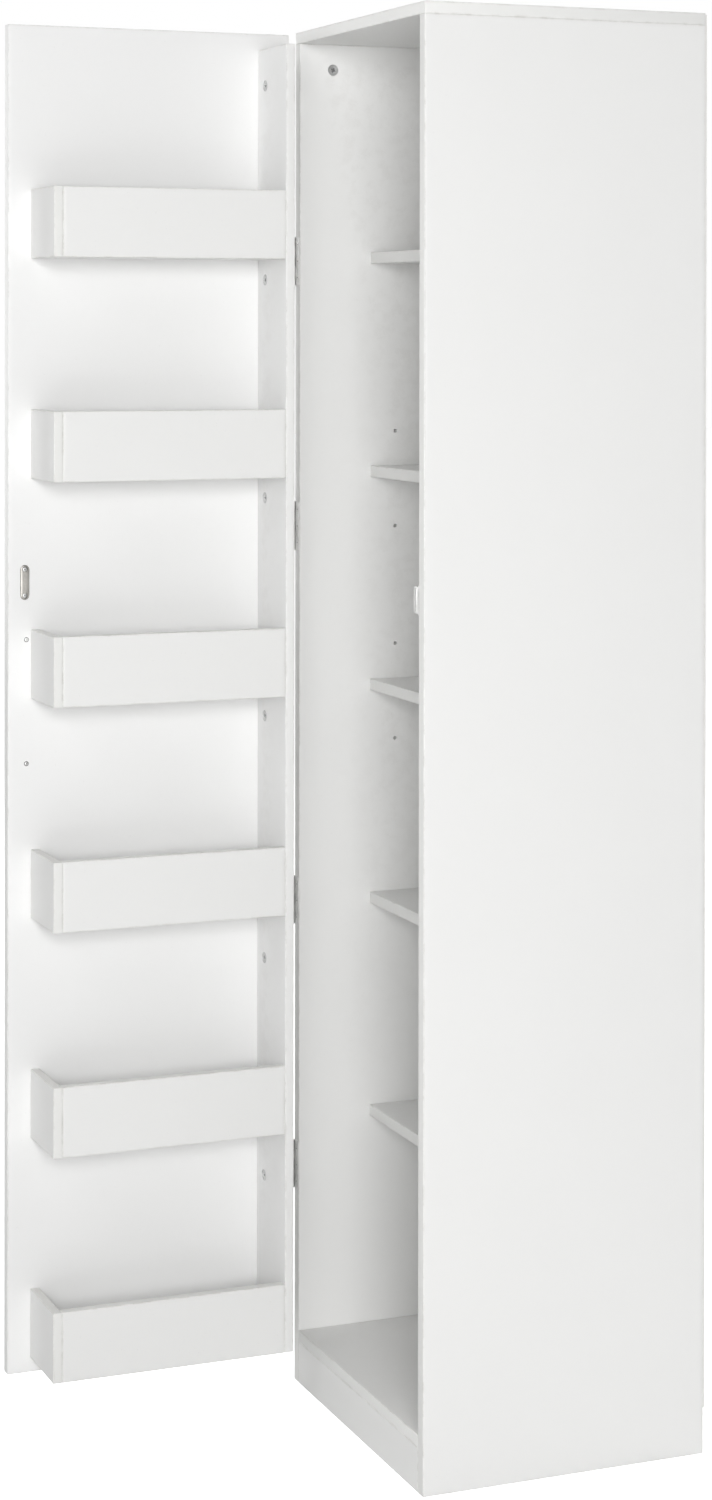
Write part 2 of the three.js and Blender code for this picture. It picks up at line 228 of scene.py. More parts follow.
def board_profile(thickness, arris, band):
    """Rows of (inset, height, wear, edge) from the low face round the edge to the high face: a flat
    margin, the band's seam as a shallow groove, a quarter circle, the edge, and the same mirrored."""
    margin = max(FADE, arris + LEAST_MARGIN)
    rows = [(margin, 0.0, 0.0, 0.0)]
    if band > arris:
        rows = [
            (FADE + band, 0.0, 0.0, 0.0),
            (band + SEAM_HALF_WIDTH, 0.0, 0.35, 0.0),
            (band, SEAM_DEPTH, 0.5, 0.5),
            (band - SEAM_HALF_WIDTH, 0.0, 0.7, 1.0),
        ]
    for angle in np.linspace(0, math.pi / 2, ARRIS_STEPS + 1):
        rows.append((arris * (1 - math.sin(angle)), arris * (1 - math.cos(angle)), 1.0, 1.0))
    fade = min(FADE, FADE_SHARE * (thickness - 2 * arris))
    rows.append((0.0, arris + fade, 0.0, 1.0))
    rows = np.array(rows)
    mirrored = rows[::-1].copy()
    mirrored[:, 1] = thickness - mirrored[:, 1]
    return np.concatenate([rows, mirrored])


def ring_faces(first, rows, count):
    """Four-sided faces between rows of a grid whose columns close on themselves."""
    row, column = np.meshgrid(np.arange(rows - 1), np.arange(count), indexing="ij")
    after = (column + 1) % count
    quads = np.stack(
        [row * count + column, row * count + after, (row + 1) * count + after, (row + 1) * count + column],
        -1,
    )
    return (quads.reshape(-1, 4) + first).tolist()


def flat_axes(thin):
    """The two axes that lie in a board whose thickness is along the axis thin."""
    return [(thin + 1) % 3, (thin + 2) % 3]


def board_outlines(low, high, thin, arris, corner, band):
    """A board's outline at each row of its profile, and the wear and edge values of the points."""
    axes = flat_axes(thin)
    middle = (low + high) / 2
    half = (high - low) / 2
    profile = board_profile(high[thin] - low[thin], arris, band)
    loops = []
    for inset, height, _, _ in profile:
        loop = np.zeros((4 * (CORNER_STEPS + 1), 3))
        loop[:, axes] = rounded_loop(half[axes[0]], half[axes[1]], corner, inset)
        loop[:, axes] += middle[axes]
        loop[:, thin] = low[thin] + height
        loops.append(loop)
    count = len(loops[0])
    return loops, [np.repeat(profile[:, 2], count)], [np.repeat(profile[:, 3], count)]


def hole_rings(low, high, thin, hole):
    """One hole's circles, from its chamfered rim down its wall to its flat end, and their wear."""
    side, place, radius, depth = hole
    first, second = flat_axes(thin)
    turn = np.linspace(0, 2 * math.pi, HOLE_SEGMENTS, endpoint=False)
    rows = ((radius + HOLE_CHAMFER, 0), (radius, HOLE_CHAMFER), (radius, depth))
    rows += ((radius * HOLE_FLOOR_SHARE, depth),)
    rings = []
    wear = []
    for reach, sunk in rows:
        ring = np.zeros((HOLE_SEGMENTS, 3))
        ring[:, first] = place[first] + reach * np.cos(turn)
        ring[:, second] = place[second] + reach * np.sin(turn)
        ring[:, thin] = (high[thin] - sunk) if side > 0 else (low[thin] + sunk)
        rings.append(ring)
        wear.append(np.full(HOLE_SEGMENTS, HOLE_RIM_WEAR if sunk < depth / 2 else 0.0))
    return rings, wear


def board_mesh(low, high, thin, arris, corner, band, holes):
    """A board as one closed skin. Axis thin is its thickness. Each hole is (side, place, radius,
    depth), sunk in the low or high face. Caps are the outlines that bound a face with holes."""
    points, wear, edge = board_outlines(low, high, thin, arris, corner, band)
    count = len(points[0])
    total = count * len(points)
    faces = ring_faces(0, len(points), count)
    rims = {-1: [list(range(count))], 1: [list(range(total - count, total))]}
    for hole in holes:
        rings, ring_wear = hole_rings(low, high, thin, hole)
        points += rings
        wear += ring_wear
        edge.append(np.zeros(HOLE_SEGMENTS * len(rings)))
        faces += ring_faces(total, len(rings), HOLE_SEGMENTS)
        rims[hole[0]].append(list(range(total, total + HOLE_SEGMENTS)))
        total += HOLE_SEGMENTS * len(rings)
        faces.append(list(range(total - HOLE_SEGMENTS, total)))
    faces += [loops[0] for loops in rims.values() if len(loops) == 1]
    caps = [loops for loops in rims.values() if len(loops) > 1]
    return np.concatenate(points), faces, np.concatenate(wear), np.concatenate(edge), caps


def turned_mesh(profile, segments, recess=None):
    """A turned solid: rows of (radius, height) carried round the axis, where a row of no radius is
    one point. The recess is a function of the two flat coordinates that lowers the rows from the
    axis to the widest one. The dent value is one where it is deepest."""
    turn = np.linspace(0, 2 * math.pi, segments, endpoint=False)
    profile = np.array(profile)
    top = int(np.argmax(profile[:, 0]))
    points, starts, total = [], [], 0
    for index, (radius, height) in enumerate(profile):
        count = 1 if radius == 0 else segments
        ring = np.zeros((count, 3))
        ring[:, 0] = radius * np.cos(turn[:count])
        ring[:, 1] = radius * np.sin(turn[:count])
        ring[:, 2] = height
        if recess is not None and index <= top:
            ring[:, 2] -= recess(ring[:, 0], ring[:, 1])
        points.append(ring)
        starts.append(total)
        total += count
    faces = []
    for index in range(len(profile) - 1):
        here, there = starts[index], starts[index + 1]
        if profile[index, 0] == 0:
            faces += [[here, there + k, there + (k + 1) % segments] for k in range(segments)]
        elif profile[index + 1, 0] == 0:
            faces += [[here + (k + 1) % segments, here + k, there] for k in range(segments)]
        else:
            faces += ring_faces(here, 2, segments)
    points = np.concatenate(points)
    dent = np.zeros(len(points))
    if recess is not None:
        dent = recess(points[:, 0], points[:, 1])
        dent[starts[top + 1]:] = 0.0
        dent = dent / max(dent.max(), 1e-9)
    return points, faces, dent


def cross_recess(arm, half_width, depth, slope):
    """A cross pressed into a head: two crossing bars whose walls slope, deepest where both are."""
    def bar(along, across):
        ends = np.clip((arm - np.abs(along)) / slope, 0, 1)
        walls = np.clip((half_width - np.abs(across)) / slope, 0, 1)
        return ends * walls
    return lambda x, y: depth * np.maximum(bar(x, y), bar(y, x))


def grooved_recess(arm, half_width, depth, slope, groove_radius, groove_width):
    """A cross recess with a turned groove round it: a smooth dip at the groove's radius."""
    cross = cross_recess(arm, half_width, depth, slope)

    def lowered(x, y):
        away = (np.hypot(x, y) - groove_radius) / groove_width
        return np.maximum(cross(x, y), GROOVE_SHARE * depth * np.exp(-away ** 2))
    return lowered


def cam_recess(x, y):
    """A cam's face: a cross recess in the middle and a shallow arrow head pressed near the rim."""
    cross = cross_recess(*CAM_CROSS)(x, y)
    along = (x - 4.3 * MM) / (1.5 * MM)
    arrow = np.clip(2.2 * (1 - along - np.abs(y) / (1.1 * MM)), 0, 1) * np.clip(6 * along, 0, 1)
    return cross + 0.35 * MM * arrow


def stand(points, place, normal):
    """Points drawn about +Z are turned to stand along the normal and moved to the place."""
    normal = np.array(normal, float)
    side = np.array((0.0, 0.0, 1.0)) if abs(normal[2]) < 0.5 else np.array((1.0, 0.0, 0.0))
    first = np.cross(side, normal)
    second = np.cross(normal, first)
    return points @ np.stack([first, second, normal]) + np.array(place)


def spun(points, angle):
    """Points turned about +Z by the angle."""
    cosine, sine = math.cos(angle), math.sin(angle)
    turned = points.copy()
    turned[:, 0] = cosine * points[:, 0] - sine * points[:, 1]
    turned[:, 1] = sine * points[:, 0] + cosine * points[:, 1]
    return turned


# ---- meshes into pieces ----

def add_piece(name, points, faces, body, material, replaces=(), values=None, caps=()):
    """A mesh object at the origin with its point values, outward faces, and its place in the model."""
    mesh = bpy.data.meshes.new(name)
    mesh.from_pydata(np.asarray(points).tolist(), [], faces)
    work = bmesh.new()
    work.from_mesh(mesh)
    work.verts.ensure_lookup_table()
    for loops in caps:
        edges = []
        for loop in loops:
            for index, vertex in enumerate(loop):
                pair = (work.verts[vertex], work.verts[loop[(index + 1) % len(loop)]])
                edges.append(work.edges.get(pair) or work.edges.new(pair))
        bmesh.ops.triangle_fill(work, use_beauty=True, use_dissolve=False, edges=edges)
    bmesh.ops.recalc_face_normals(work, faces=work.faces[:])
    work.to_mesh(mesh)
    work.free()
    for key, value in (values or {}).items():
        attribute = mesh.attributes.new(key, "FLOAT", "POINT")
        attribute.data.foreach_set("value", np.asarray(value, np.float32))
    mesh.shade_smooth()
    mesh.set_sharp_from_angle(angle=SHARP_ANGLE)
    piece = bpy.data.objects.new(name, mesh)
    bpy.context.scene.collection.objects.link(piece)
    mesh.materials.append(material)
    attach(piece, body)
    if replaces:
        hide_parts(*replaces)
    return piece


def box_of(node):
    """A node's low and high corners as arrays."""
    low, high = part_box(node)
    return np.array(low), np.array(high)


def body_of(node):
    """The body that a node rides on."""
    return NODES[node]["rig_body"]


def nodes_with(words):
    """The nodes whose names hold the given words, in order."""
    return sorted(name for name in NODES if words in name)


def add_board(node, material, thin, arris=ARRIS, corner=CORNER, band=BAND, holes=()):
    """The board that stands for a node, in that node's own box."""
    low, high = box_of(node)
    points, faces, wear, edge, caps = board_mesh(low, high, thin, arris, corner, band, holes)
    values = {"arris": wear, "edge": edge}
    name = node + "_board"
    return add_piece(name, points, faces, body_of(node), material, [node], values, caps)


def join_boards(name, parts, body, material, replaces, caps=()):
    """Several small closed skins as one piece. Caps are those of the first."""
    points, faces, wear, edge, start = [], [], [], [], 0
    for part in parts:
        points.append(part[0])
        faces += [[v + start for v in face] for face in part[1]]
        wear.append(part[2])
        edge.append(part[3])
        start += len(part[0])
    values = {"arris": np.concatenate(wear), "edge": np.concatenate(edge)}
    return add_piece(name, np.concatenate(points), faces, body, material, replaces, values, caps)


def add_turned(name, shape, places, body, material, replaces=(), turns=None):
    """One piece of the same turned shape at every (place, normal). Turns are each one's angle."""
    points, faces, dent = shape
    made_points, made_faces, made_dents = [], [], []
    for index, (place, normal) in enumerate(places):
        angle = 0.0 if turns is None else turns[index]
        made_points.append(stand(spun(points, angle), place, normal))
        made_faces += [[v + index * len(points) for v in face] for face in faces]
        made_dents.append(dent)
    values = {"dent": np.concatenate(made_dents)}
    points = np.concatenate(made_points)
    return add_piece(name, points, made_faces, body, material, replaces, values)


# ---- shader groups ----

def add_node(tree, kind, inputs=None, **settings):
    """A node with its settings, and its inputs set to values or linked to sockets."""
    made = tree.nodes.new(kind)
    for key, value in settings.items():
        setattr(made, key, value)
    for key, value in (inputs or {}).items():
        if isinstance(value, bpy.types.NodeSocket):
            tree.links.new(value, made.inputs[key])
        else:
            made.inputs[key].default_value = value
    return made


def new_group(name, numbers, outputs):
    """A shader group with number inputs and their defaults, and number outputs."""
    tree = bpy.data.node_groups.new(name, "ShaderNodeTree")
    for key, default in numbers.items():
        socket = tree.interface.new_socket(name=key, in_out="INPUT", socket_type="NodeSocketFloat")
        socket.default_value = default
    for key in outputs:
        tree.interface.new_socket(name=key, in_out="OUTPUT", socket_type="NodeSocketFloat")
    source = tree.nodes.new("NodeGroupInput").outputs
    sink = tree.nodes.new("NodeGroupOutput").inputs
    return tree, source, sink


def math_of(tree, operation, first, second=0.0, clamp=False):
    """The result of one sum on numbers or sockets."""
    made = add_node(tree, "ShaderNodeMath", {0: first, 1: second}, operation=operation, use_clamp=clamp)
    return made.outputs[0]


def ramp_of(tree, value, low, high, to_low=0.0, to_high=1.0):
    """The value moved smoothly from the range low..high to the range to_low..to_high."""
    inputs = {"Value": value, "From Min": low, "From Max": high, "To Min": to_low, "To Max": to_high}
    made = add_node(tree, "ShaderNodeMapRange", inputs, interpolation_type="SMOOTHSTEP")
    return made.outputs["Result"]


def noise_of(tree, scale, detail=2.0, rough=0.5, stretch=None):
    """Noise on the object's own coordinates, which may be stretched first."""
    coordinates = add_node(tree, "ShaderNodeTexCoord").outputs["Object"]
    if stretch is not None:
        coordinates = add_node(tree, "ShaderNodeMapping", {"Vector": coordinates, "Scale": stretch})
        coordinates = coordinates.outputs[0]
    inputs = {"Vector": coordinates, "Scale": scale, "Detail": detail, "Roughness": rough}
    return add_node(tree, "ShaderNodeTexNoise", inputs).outputs["Fac"]


def put_mask(tree, source, sink, mask):
    """The group's mask, as strong as its amount says."""
    tree.links.new(math_of(tree, "MULTIPLY", mask, source["Amount"], True), sink["Mask"])


def skin_group():
    """Pressed melamine: a fine peel in the height, a faint cloud and rare specks in the tone."""
    tree, source, sink = new_group(
        "pressed_skin", {"Peel Scale": 700.0, "Cloud Scale": 2.2, "Specks": 0.5}, ("Height", "Tone")
    )
    peel = noise_of(tree, source["Peel Scale"], 2.0, 0.6)
    broad = noise_of(tree, 160.0, 2.0, 0.5)
    height = math_of(tree, "ADD", peel, math_of(tree, "MULTIPLY", broad, 0.8))
    tree.links.new(height, sink["Height"])
    cloud = ramp_of(tree, noise_of(tree, source["Cloud Scale"], 3.0, 0.55), 0.25, 0.75, 0.988, 1.0)
    speck = ramp_of(tree, noise_of(tree, 420.0, 1.0, 0.4), 0.74, 0.82)
    speck = math_of(tree, "MULTIPLY", speck, math_of(tree, "MULTIPLY", source["Specks"], 0.12))
    tree.links.new(math_of(tree, "SUBTRACT", cloud, speck), sink["Tone"])
    return tree


def wear_group():
    """Wear along arrises and rims: the arris value of the piece, broken up by two sizes of noise."""
    tree, source, sink = new_group("arris_wear", {"Amount": 0.5, "Scale": 60.0}, ("Mask",))
    near = add_node(tree, "ShaderNodeAttribute", attribute_name="arris").outputs["Fac"]
    patches = ramp_of(tree, noise_of(tree, source["Scale"], 4.0, 0.65), 0.42, 0.66)
    fine = ramp_of(tree, noise_of(tree, 900.0, 2.0, 0.5), 0.35, 0.6, 0.4, 1.0)
    broken = math_of(tree, "MULTIPLY", patches, fine)
    mask = math_of(tree, "MULTIPLY", math_of(tree, "POWER", near, 2.2), broken)
    put_mask(tree, source, sink, mask)
    return tree


def dust_group():
    """Dust that settles where a surface faces up, in soft patches with fine grains."""
    tree, source, sink = new_group("settled_dust", {"Amount": 0.3}, ("Mask",))
    normal = add_node(tree, "ShaderNodeNewGeometry").outputs["Normal"]
    upward = add_node(tree, "ShaderNodeSeparateXYZ", {0: normal}).outputs["Z"]
    facing = ramp_of(tree, upward, 0.45, 0.95)
    patches = ramp_of(tree, noise_of(tree, 14.0, 4.0, 0.6), 0.35, 0.7, 0.35, 1.0)
    grains = ramp_of(tree, noise_of(tree, 1300.0, 1.0, 0.5), 0.4, 0.62, 0.5, 1.0)
    mask = math_of(tree, "MULTIPLY", facing, math_of(tree, "MULTIPLY", patches, grains))
    put_mask(tree, source, sink, mask)
    return tree


def streak_group():
    """Brushed metal: fine lines drawn out along one of three directions, and soft blotches."""
    tree, source, sink = new_group(
        "brushed_lines", {"Across X": 1.0, "Across Y": 1.0, "Across Z": 1.0}, ("Lines", "Blotch")
    )
    scale = add_node(
        tree, "ShaderNodeCombineXYZ", {0: source["Across X"], 1: source["Across Y"], 2: source["Across Z"]}
    ).outputs[0]
    tree.links.new(noise_of(tree, 900.0, 3.0, 0.6, scale), sink["Lines"])
    tree.links.new(ramp_of(tree, noise_of(tree, 90.0, 3.0, 0.6), 0.3, 0.7), sink["Blotch"])
    return tree


def recess_shade_and_dirt_group():
    """Painted shade with some dirt in pressed recesses: the dent value of the piece with a little noise.
    """
    tree, source, sink = new_group("recess_shade_and_dirt", {"Amount": 0.8}, ("Mask",))
    dent = add_node(tree, "ShaderNodeAttribute", attribute_name="dent").outputs["Fac"]
    broken = ramp_of(tree, noise_of(tree, 1500.0, 2.0, 0.5), 0.2, 0.7, 0.7, 1.0)
    mask = math_of(tree, "MULTIPLY", ramp_of(tree, dent, 0.05, 0.7), broken)
    put_mask(tree, source, sink, mask)
    return tree


SKIN = skin_group()
WEAR = wear_group()
DUST = dust_group()
STREAKS = streak_group()
RECESS_SHADE_AND_DIRT = recess_shade_and_dirt_group()


# ---- materials ----

def place_group(tree, group, **values):
    """A group placed in a material with its own values, whose names take a space for each underscore."""
    made = tree.nodes.new("ShaderNodeGroup")
    made.node_tree = group
    for key, value in values.items():
        made.inputs[key.replace("_", " ")].default_value = value
    return made.outputs


def mix_colours(tree, factor, first, second, blend="MIX"):
    """Two colours mixed by the factor."""
    made = tree.nodes.new("ShaderNodeMix")
    made.data_type = "RGBA"
    made.blend_type = blend
    colours = [socket for socket in made.inputs if socket.type == "RGBA"]
    for socket, value in ((made.inputs[0], factor), (colours[0], first), (colours[1], second)):
        if isinstance(value, bpy.types.NodeSocket):
            tree.links.new(value, socket)
        else:
            socket.default_value = value
    return [socket for socket in made.outputs if socket.type == "RGBA"][0]


def grey_of(tree, value):
    """A number as a colour."""
    return add_node(tree, "ShaderNodeCombineColor", {0: value, 1: value, 2: value}).outputs[0]


def bump_of(tree, height, distance, strength=1.0, normal=None):
    """A bump of the height, which may stand on another bump."""
    inputs = {"Height": height, "Distance": distance, "Strength": strength}
    if normal is not None:
        inputs["Normal"] = normal
    return add_node(tree, "ShaderNodeBump", inputs).outputs[0]


def new_material(name):
    """A material with its node tree and its shader."""
    material = bpy.data.materials.new(name)
    material.use_nodes = True
    shader = next(n for n in material.node_tree.nodes if n.type == "BSDF_PRINCIPLED")
    return material, material.node_tree, shader


def dress(tree, shader, colour, rough, normal):
    """The shader's colour, roughness and normal."""
    for key, value in (("Base Color", colour), ("Roughness", rough), ("Normal", normal)):
        tree.links.new(value, shader.inputs[key])


def white_board(name, face, band, roughness, dust):
    """White melamine: the face colour, the band colour on the edges, wear that shows the grey core,
    settled dust, and a fine pressed peel."""
    material, tree, shader = new_material(name)
    skin = place_group(tree, SKIN, Peel_Scale=700.0, Cloud_Scale=2.2, Specks=0.5)
    wear = place_group(tree, WEAR, Amount=0.34, Scale=55.0)["Mask"]
    film = place_group(tree, DUST, Amount=dust)["Mask"]
    edge = add_node(tree, "ShaderNodeAttribute", attribute_name="edge").outputs["Fac"]
    colour = mix_colours(tree, edge, face, band)
    colour = mix_colours(tree, 1.0, colour, grey_of(tree, skin["Tone"]), "MULTIPLY")
    colour = mix_colours(tree, wear, colour, CORE_GREY)
    colour = mix_colours(tree, film, colour, BOARD_DUST)
    rough = ramp_of(tree, skin["Height"], 0.4, 1.4, roughness - 0.04, roughness + 0.05)
    rough = math_of(tree, "ADD", rough, math_of(tree, "MULTIPLY", film, 0.3), True)
    dress(tree, shader, colour, rough, bump_of(tree, skin["Height"], 0.025 * MM))
    shader.inputs["IOR"].default_value = 1.48
    return material


def hardboard():
    """The back: white lacquer inside and on its edges, brown pressed fibre on the face that points
    backwards, with the fine net that the press leaves."""
    material, tree, shader = new_material("hardboard")
    coordinates = add_node(tree, "ShaderNodeTexCoord").outputs["Object"]
    normal = add_node(tree, "ShaderNodeNewGeometry").outputs["Normal"]
    rearward = add_node(tree, "ShaderNodeSeparateXYZ", {0: normal}).outputs["Y"]
    outside = ramp_of(tree, rearward, 0.3, 0.9)
    fibre = noise_of(tree, 260.0, 5.0, 0.7, (1.0, 1.0, 0.25))
    flecks = noise_of(tree, 900.0, 2.0, 0.6)
    brown = mix_colours(tree, fibre, (0.21, 0.135, 0.08, 1), (0.42, 0.295, 0.185, 1))
    brown = mix_colours(tree, ramp_of(tree, flecks, 0.55, 0.75, 0.0, 0.6), brown, (0.52, 0.4, 0.27, 1))
    skin = place_group(tree, SKIN, Peel_Scale=500.0, Cloud_Scale=1.6, Specks=0.8)
    white = mix_colours(tree, 1.0, (0.86, 0.855, 0.835, 1), grey_of(tree, skin["Tone"]), "MULTIPLY")
    film = place_group(tree, DUST, Amount=0.3)["Mask"]
    colour = mix_colours(tree, outside, white, brown)
    colour = mix_colours(tree, film, colour, BACK_DUST)
    weave = {"Vector": coordinates, "Scale": 125.0, "Distortion": 0.6}
    grid = [
        add_node(tree, "ShaderNodeTexWave", weave, bands_direction=direction).outputs["Fac"]
        for direction in ("X", "Z")
    ]
    net = math_of(tree, "MINIMUM", grid[0], grid[1])
    rough_side = math_of(tree, "ADD", math_of(tree, "MULTIPLY", net, 0.6), fibre)
    height = math_of(tree, "MULTIPLY", rough_side, outside)
    fine = bump_of(tree, skin["Height"], 0.02 * MM)
    rough = ramp_of(tree, outside, 0, 1, 0.42, 0.86)
    dress(tree, shader, colour, rough, bump_of(tree, height, 0.25 * MM, 1.0, fine))
    return material


def metal(name, colour, roughness, across, recess_shade_and_dirt_amount=0.8, blotch=0.12, rim=1.2):
    """Plated or brushed metal: fine lines, blotches, recesses darkened as painted shade with some dirt,
    and arrises that are lighter or darker by the rim factor. Below one, the factor darkens the whole edge
    too."""
    material, tree, shader = new_material(name)
    lines = place_group(tree, STREAKS, Across_X=across[0], Across_Y=across[1], Across_Z=across[2])
    shade_and_dirt_mask = place_group(tree, RECESS_SHADE_AND_DIRT, Amount=recess_shade_and_dirt_amount)["Mask"]
    wear = place_group(tree, WEAR, Amount=0.6, Scale=140.0)["Mask"]
    dark = tuple(BLOTCH_SHADE * part for part in colour[:3]) + (1,)
    rim_tone = tuple(min(1.0, rim * part) for part in colour[:3]) + (1,)
    shade = mix_colours(tree, math_of(tree, "MULTIPLY", lines["Blotch"], blotch * 3), colour, dark)
    shade = mix_colours(tree, wear, shade, rim_tone)
    # With a rim factor below one, the whole edge and a narrow band along it turn darker.
    if rim < 1:
        border = add_node(tree, "ShaderNodeAttribute", attribute_name="edge").outputs["Fac"]
        shade = mix_colours(tree, math_of(tree, "MULTIPLY", border, RIM_COVER), shade, rim_tone)
    # Pressed recesses go near black: painted shade, with some dirt.
    shade = mix_colours(tree, shade_and_dirt_mask, shade, SHADE_AND_DIRT_BLACK)
    shader.inputs["Metallic"].default_value = 1.0
    rough = ramp_of(tree, lines["Lines"], 0.3, 0.7, roughness - 0.06, roughness + 0.08)
    rough = math_of(tree, "ADD", rough, math_of(tree, "MULTIPLY", shade_and_dirt_mask, 0.4), True)
    dress(tree, shader, shade, rough, bump_of(tree, lines["Lines"], 0.015 * MM))
    return material


def plastic():
    """White moulded plastic with a fine spark texture and scuffed arrises."""
    material, tree, shader = new_material("white_plastic")
    spark = noise_of(tree, 2600.0, 2.0, 0.6)
    cloud = ramp_of(tree, noise_of(tree, 60.0, 2.0, 0.5), 0.3, 0.7, 0.96, 1.0)
    wear = place_group(tree, WEAR, Amount=0.35, Scale=160.0)["Mask"]
    shade_and_dirt_mask = place_group(tree, RECESS_SHADE_AND_DIRT, Amount=0.6)["Mask"]
    colour = mix_colours(tree, 1.0, (0.86, 0.86, 0.85, 1), grey_of(tree, cloud), "MULTIPLY")
    colour = mix_colours(tree, wear, colour, (0.7, 0.7, 0.69, 1))
    # Recesses go dark grey: painted shade, with some dirt.
    colour = mix_colours(tree, shade_and_dirt_mask, colour, (0.3, 0.3, 0.3, 1))
    rough = ramp_of(tree, spark, 0.3, 0.7, 0.32, 0.46)
    dress(tree, shader, colour, rough, bump_of(tree, spark, 0.02 * MM))
    return material


def ferrite():
    """Sintered magnet: dark grey with pores and chipped arrises."""
    material, tree, shader = new_material("ferrite")
    grain = noise_of(tree, 1800.0, 4.0, 0.7)
    pores = ramp_of(tree, noise_of(tree, 1100.0, 1.0, 0.5), 0.66, 0.74)
    wear = place_group(tree, WEAR, Amount=0.8, Scale=260.0)["Mask"]
    colour = mix_colours(tree, grain, (0.045, 0.045, 0.05, 1), (0.13, 0.13, 0.135, 1))
    colour = mix_colours(tree, pores, colour, (0.015, 0.015, 0.015, 1))
    colour = mix_colours(tree, wear, colour, (0.2, 0.2, 0.2, 1))
    rough = ramp_of(tree, grain, 0.3, 0.7, 0.5, 0.75)
    dress(tree, shader, colour, rough, bump_of(tree, grain, 0.05 * MM))
    return material


CARCASS_WHITE = white_board("carcass_white", (0.865, 0.865, 0.855, 1), (0.845, 0.845, 0.83, 1), 0.42, 0.08)
DOOR_WHITE = white_board("door_white", (0.865, 0.865, 0.86, 1), (0.85, 0.85, 0.84, 1), 0.4, 0.08)
# The racks' board is a darker copy of the same white: painted shade, so their fronts come out no brighter
# than the door's face.
SHADED_RACK_WHITE = white_board("rack_white_painted_shade", (0.825, 0.825, 0.815, 1), (0.81, 0.81, 0.79, 1), 0.42, 0.1)
HARDBOARD = hardboard()
HINGE_STEEL = metal("hinge_nickel", (0.9, 0.9, 0.89, 1), 0.42, (1.0, 1.0, 0.05))
SCREW_STEEL = metal("screw_zinc", (0.93, 0.93, 0.92, 1), 0.4, (1.0, 1.0, 1.0), 0.95)
CAM_ZINC = metal("cast_zinc", (0.7, 0.7, 0.7, 1), 0.48, (1.0, 1.0, 1.0), 0.55, 0.25)
PLATE_STEEL = metal("strike_steel", (0.66, 0.64, 0.6, 1), 0.46, (1.0, 1.0, 0.04), rim=0.42)
HANDLE_NICKEL = metal("handle_nickel", (0.62, 0.61, 0.59, 1), 0.28, (1.0, 1.0, 0.03))
PLASTIC = plastic()
FERRITE = ferrite()


# ---- carcass and door boards ----

def cam_pockets(words, thin, side):
    """A pocket for each cam lock whose name holds the given words."""
    holes = []
    across = flat_axes(thin)[0]
    for node in nodes_with(words):
        low, high = box_of(node)
        radius = (high[across] - low[across]) / 2
        holes.append((side, (low + high) / 2, radius, high[thin] - low[thin]))
    return holes


def shelf_pin_holes(side):
    """Two columns of pin holes at each adjustable shelf: one at its pins, one above, one below."""
    holes = []
    for shelf in ADJUSTABLE_SHELVES:
        low, high = box_of(shelf)
        for y in (low[1] + PIN_HOLE_FROM_EDGE, high[1] - PIN_HOLE_FROM_EDGE):
            for step in (-1, 0, 1):
                place = np.array((0, y, low[2] - PIN_HOLE_RADIUS + step * PIN_HOLE_STEP))
                holes.append((side, place, PIN_HOLE_RADIUS, PIN_HOLE_DEPTH))
    return holes


def carcass_boards():
    """Sides with their cam pockets and pin holes, top, bottom, plinth, shelves and back."""
    left_holes = cam_pockets("top_cam_lock_left", 0, 1) + shelf_pin_holes(1)
    right_holes = cam_pockets("top_cam_lock_right", 0, -1) + shelf_pin_holes(-1)
    add_board("side_panel_left", CARCASS_WHITE, 0, holes=left_holes)
    add_board("side_panel_right", CARCASS_WHITE, 0, holes=right_holes)
    for node, thin in (("top_panel", 2), ("bottom_panel", 2), ("plinth", 1)):
        add_board(node, CARCASS_WHITE, thin)
    for node in nodes_with("shelf_"):
        add_board(node, CARCASS_WHITE, 2)
    add_board("back_panel", HARDBOARD, 1, BACK_ARRIS, BACK_CORNER, band=0)


def door_boards():
    """Door panel, stile with its cam pockets, and the racks' fronts, ends and bases."""
    add_board("door_panel", DOOR_WHITE, 0)
    pockets = cam_pockets("stile_cam_lock", 1, -1)
    add_board("door_stile", DOOR_WHITE, 1, holes=pockets)
    for prefix, thin in (("rack_front_", 0), ("rack_end_", 1), ("rack_base_", 2)):
        for node in nodes_with(prefix):
            add_board(node, SHADED_RACK_WHITE, thin)


# ---- fittings ----

def cam_locks():
    """Each cam: a flat face in a raised rim, the cross recess and arrow, and a body in the pocket."""
    rows = [(0.0, -0.45 * MM)]
    rows += [(radius, -0.45 * MM) for radius in np.linspace(0.3, 6.0, 20) * MM]
    rows += [(6.25 * MM, -0.75 * MM), (6.45 * MM, -0.75 * MM), (6.65 * MM, -0.2 * MM)]
    rows += [(7.1 * MM, -0.15 * MM), (CAM_RADIUS, -0.35 * MM), (CAM_RADIUS, -6.0 * MM)]
    rows += [(CAM_RADIUS - 0.3 * MM, -6.3 * MM), (0.0, -6.3 * MM)]
    shape = turned_mesh(rows, CAM_SEGMENTS, cam_recess)
    for index, node in enumerate(nodes_with("cam_lock")):
        low, high = box_of(node)
        middle = (low + high) / 2
        if node.startswith("stile"):
            place = (middle[0], low[1], middle[2])
            normal = (0, -1, 0)
        elif "left" in node:
            place = (high[0], middle[1], middle[2])
            normal = (1, 0, 0)
        else:
            place = (low[0], middle[1], middle[2])
            normal = (-1, 0, 0)
        turn = [CAM_FIRST_TURN + CAM_TURN_STEP * index]
        name = node + "_face"
        add_turned(name, shape, [(place, normal)], body_of(node), CAM_ZINC, [node], turn)


